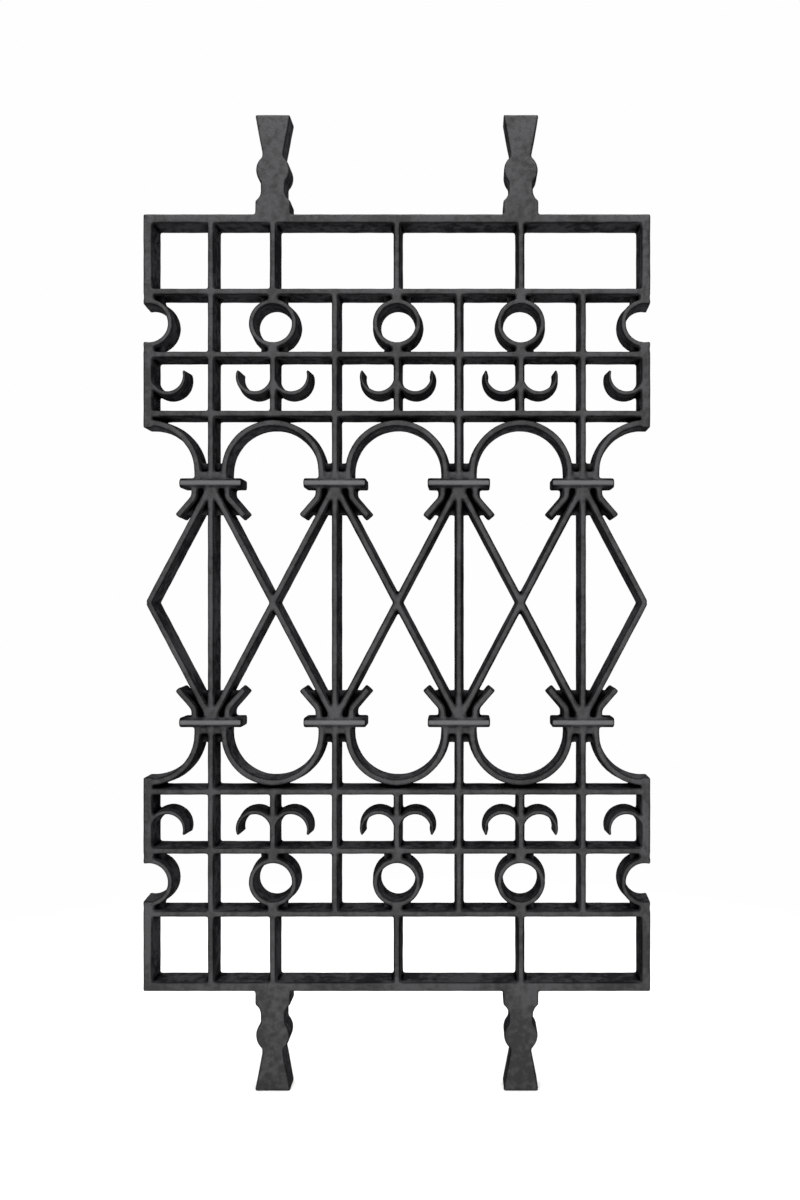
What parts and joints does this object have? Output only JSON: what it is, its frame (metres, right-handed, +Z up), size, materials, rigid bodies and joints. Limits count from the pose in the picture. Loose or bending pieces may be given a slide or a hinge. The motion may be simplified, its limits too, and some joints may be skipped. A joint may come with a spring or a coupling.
{
  "type": "cast iron balustrade panel",
  "caption": "Openwork cast iron balustrade panel with rings, scrolls, round arches and lozenges between rails, and waisted lugs for setting into stone.",
  "frame": {"origin": "middle of the underside of the bottom rail, at the casting's mid-depth", "axes": "+Z up the panel, +X to the right seen from the front, +Y from the front to the back"},
  "size_m": [0.51, 0.031, 0.982],
  "materials": {
    "black_iron": "black paint over sand-cast iron, worn satin"
  },
  "bodies": {
    "root": {"panel": "black_iron"}
  },
  "joints": []
}
